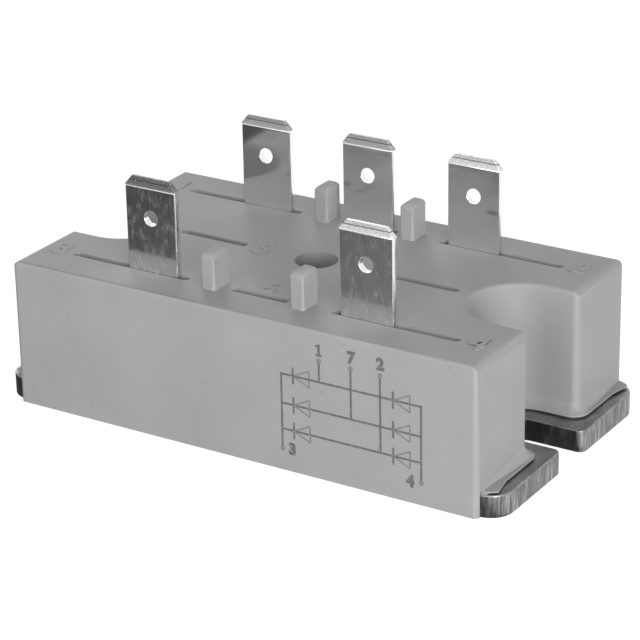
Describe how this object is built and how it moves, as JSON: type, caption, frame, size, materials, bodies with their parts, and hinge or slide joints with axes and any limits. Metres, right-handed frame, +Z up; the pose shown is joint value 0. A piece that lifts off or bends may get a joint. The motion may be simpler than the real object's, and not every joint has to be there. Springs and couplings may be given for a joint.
{
  "type": "bridge rectifier",
  "caption": "Three-phase bridge rectifier module: grey moulded housing on a metal base with open screw slots, with upright push-on blade tabs and small posts on top.",
  "frame": {"origin": "middle of the metal base's lower face", "axes": "+X along the long side towards tabs 2 and 4, +Y from the front row of tabs to the back row, +Z up out of the top"},
  "size_m": [0.061, 0.0318, 0.0268],
  "materials": {
    "housing": "fine matte moulded surface",
    "plate": "nickel plated, satin, with sheared edges",
    "tab": "bright tin plating, drawn lengthwise",
    "adhesive": "dark cured bead",
    "solder": "dull grey",
    "copper": "bare copper",
    "ceramic": "white, unglazed",
    "silicon": "dark polished die with a metal top",
    "gel": "clear soft gel",
    "resin": "dark hard resin"
  },
  "bodies": {
    "root": {"baseplate": "plate", "housing": "housing", "terminal_1": "tab", "terminal_7": "tab", "terminal_2": "tab", "terminal_3": "tab", "terminal_4": "tab", "seal_adhesive": "adhesive", "substrate_solder": "solder", "substrate_copper": "copper", "ceramic_substrate": "ceramic", "track_ac_1": "copper", "track_ac_7": "copper", "track_ac_2": "copper", "track_plus": "copper", "track_minus": "copper", "diode_die_plus_1": "silicon", "diode_die_plus_7": "silicon", "diode_die_plus_2": "silicon", "diode_die_minus_1": "silicon", "diode_die_minus_7": "silicon", "diode_die_minus_2": "silicon", "solder_joints": "solder", "jumper_1": "copper", "jumper_7": "copper", "jumper_2": "copper", "minus_clip": "copper", "silicone_gel": "gel", "potting_resin": "resin"}
  },
  "joints": []
}
